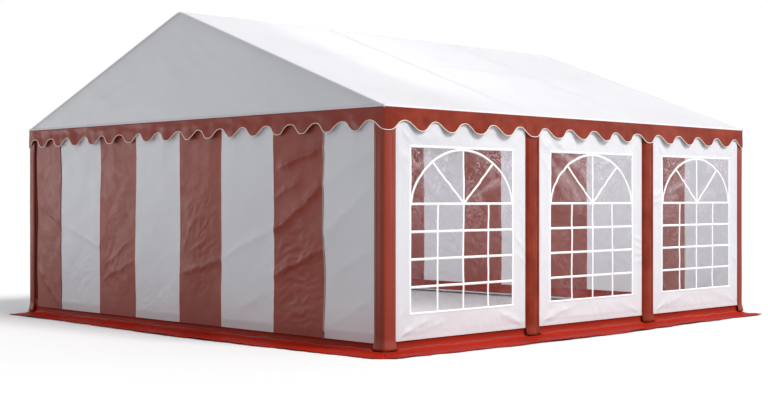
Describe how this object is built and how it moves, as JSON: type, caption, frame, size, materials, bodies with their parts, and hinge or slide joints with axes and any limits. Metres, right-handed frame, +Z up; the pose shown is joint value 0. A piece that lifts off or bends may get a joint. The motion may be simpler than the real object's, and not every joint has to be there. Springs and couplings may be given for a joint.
{
  "type": "party tent",
  "caption": "Gable-roofed party tent: tube frame, white roof, striped zipped end walls, side walls with clear windows, scalloped valance and ground flaps.",
  "frame": {"origin": "on the ground at the middle of the square plan", "axes": "+Z up; +X towards the window wall that the picture shows, -Y towards the striped front gable; the ridge runs along Y"},
  "size_m": [6.76, 6.76, 3.28],
  "materials": {
    "white_fabric": "coated woven polyester, soft sheen",
    "red_fabric": "coated woven polyester, soft sheen",
    "striped_fabric": "upright white and red stripes of coated woven polyester",
    "clear_film": "clear soft film, glossy and creased",
    "galvanised_steel": "zinc-coated tube"
  },
  "bodies": {
    "root": {"post_right_1": "galvanised_steel", "post_right_2": "galvanised_steel", "post_right_3": "galvanised_steel", "post_right_4": "galvanised_steel", "post_left_1": "galvanised_steel", "post_left_2": "galvanised_steel", "post_left_3": "galvanised_steel", "post_left_4": "galvanised_steel", "rafter_right_1": "galvanised_steel", "rafter_right_2": "galvanised_steel", "rafter_right_3": "galvanised_steel", "rafter_right_4": "galvanised_steel", "rafter_left_1": "galvanised_steel", "rafter_left_2": "galvanised_steel", "rafter_left_3": "galvanised_steel", "rafter_left_4": "galvanised_steel", "ridge_pole": "galvanised_steel", "mid_purlin_right": "galvanised_steel", "mid_purlin_left": "galvanised_steel", "eave_pole_right": "galvanised_steel", "eave_pole_left": "galvanised_steel", "ground_rail_right": "galvanised_steel", "ground_rail_left": "galvanised_steel", "ground_rail_front": "galvanised_steel", "ground_rail_back": "galvanised_steel", "roof_cover": "white_fabric", "gable_triangle_front": "white_fabric", "gable_triangle_back": "white_fabric", "side_wall_right": "white_fabric", "side_wall_left": "white_fabric", "window_film_right_1": "clear_film", "window_film_right_2": "clear_film", "window_film_right_3": "clear_film", "window_film_left_1": "clear_film", "window_film_left_2": "clear_film", "window_film_left_3": "clear_film", "door_front": "striped_fabric", "door_back": "striped_fabric", "gable_panel_front_right": "white_fabric", "gable_panel_front_left": "red_fabric", "gable_panel_back_right": "white_fabric", "gable_panel_back_left": "red_fabric", "valance_right": "red_fabric", "valance_left": "red_fabric", "valance_front": "red_fabric", "valance_back": "red_fabric", "post_strip_right_1": "red_fabric", "post_strip_right_2": "red_fabric", "post_strip_left_1": "red_fabric", "post_strip_left_2": "red_fabric", "corner_strip_front_right": "red_fabric", "corner_strip_front_left": "red_fabric", "corner_strip_back_right": "red_fabric", "corner_strip_back_left": "red_fabric", "ground_skirt_right": "red_fabric", "ground_skirt_left": "red_fabric", "ground_skirt_front": "red_fabric", "ground_skirt_back": "red_fabric"}
  },
  "joints": []
}
